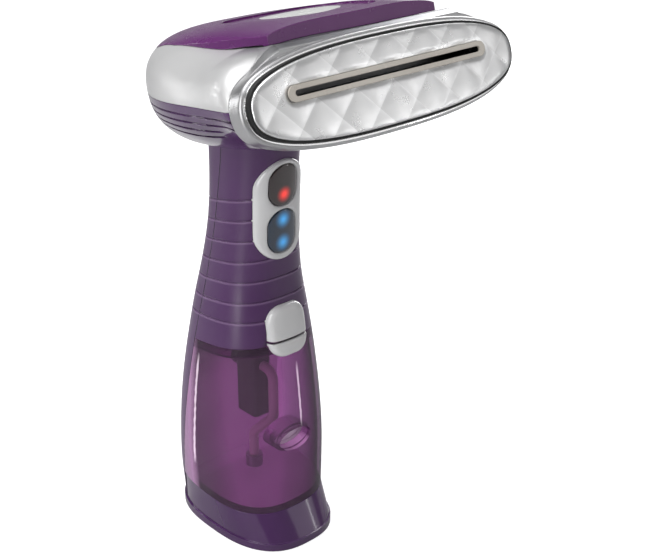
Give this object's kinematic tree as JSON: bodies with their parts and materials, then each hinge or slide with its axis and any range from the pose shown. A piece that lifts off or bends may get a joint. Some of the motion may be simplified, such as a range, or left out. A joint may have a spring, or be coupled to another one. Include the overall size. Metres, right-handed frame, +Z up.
{
  "type": "handheld garment steamer",
  "caption": "Upright handheld garment steamer: wide quilted steam plate on a tilted head, ribbed grip with indicator panel, removable clear tank and flared foot.",
  "frame": {"origin": "middle of the foot on the table plane, under the handle axis", "axes": "+Z up, the steam plate faces -Y, X along the long side of the plate"},
  "size_m": [0.1511, 0.1501, 0.2752],
  "materials": {
    "purple_shell": "fine satin moulded plastic",
    "purple_gloss": "high gloss moulded plastic",
    "silver_paint": "satin silver paint on plastic",
    "chrome": "polished",
    "steam_plate": "polished pressed metal",
    "slot_white": "pale satin",
    "badge_white": "blank silver-white",
    "black_silicone": "matte",
    "carrier_black": "heat resistant moulding",
    "cast_aluminium": "as cast",
    "steel": "plain",
    "red_lens": "smoked red lens",
    "blue_lens": "smoked blue lens",
    "board_green": "coated board",
    "led_clear": "clear lamp",
    "hose_clear": "milky silicone",
    "tank_clear": "clear tinted tank",
    "plug_pale": "pale soft plug",
    "black_plastic": "moulded",
    "cord_black": "matte"
  },
  "bodies": {
    "body": {"steam_plate": "steam_plate", "slot_frame": "slot_white", "plate_gasket": "black_silicone", "chrome_ring": "chrome", "bezel": "silver_paint", "head_lower": "purple_gloss", "head_band": "silver_paint", "top_trim": "purple_gloss", "badge_insert": "badge_white", "plate_carrier": "carrier_black", "steam_chamber": "cast_aluminium", "chamber_gasket": "black_silicone", "chamber_cover": "cast_aluminium", "chamber_screws": "steel", "heating_element": "steel", "thermostat": "steel", "thermal_fuse": "steel", "handle_front": "purple_shell", "handle_rear": "purple_shell", "panel_bezel": "silver_paint", "ready_lens": "blue_lens", "control_board": "board_green", "indicator_leds": "led_clear", "turbo_switch": "black_plastic", "board_screws": "steel", "pump": "black_plastic", "pump_mount": "black_silicone", "lower_hose": "hose_clear", "upper_hose": "hose_clear", "tank_coupling": "black_plastic", "coupling_seal": "black_silicone", "release_spring": "steel", "spring_seat": "black_plastic", "foot": "purple_gloss", "foot_pads": "black_silicone", "foot_cover": "carrier_black", "foot_screws": "steel", "cord_bushing": "cord_black", "power_cord": "cord_black"},
    "tank": {"tank_shell": "tank_clear", "tank_cap": "tank_clear", "latch_tab": "silver_paint", "tank_valve": "black_plastic", "intake_tube": "hose_clear", "intake_filter": "steel"},
    "plug": {"fill_plug": "plug_pale"},
    "turbo_key": {"turbo_button": "red_lens"},
    "release_key": {"release_button": "silver_paint"}
  },
  "joints": [
    {"name": "tank_slide", "type": "slide", "parent": "body", "child": "tank", "axis": [0, -1, 0], "range_m": [0, 0.14]},
    {"name": "fill_plug_pull", "type": "slide", "parent": "tank", "child": "plug", "axis": [0, -1, 0], "range_m": [0, 0.02]},
    {"name": "turbo_press", "type": "slide", "parent": "body", "child": "turbo_key", "axis": [0, 1, 0], "range_m": [0, 0.0008], "stiffness_N_per_m": 2500, "springref_m": -0.0006},
    {"name": "release_press", "type": "slide", "parent": "body", "child": "release_key", "axis": [0, 1, 0], "range_m": [0, 0.0025], "stiffness_N_per_m": 900, "springref_m": -0.002, "deforming": ["release_spring"]}
  ]
}
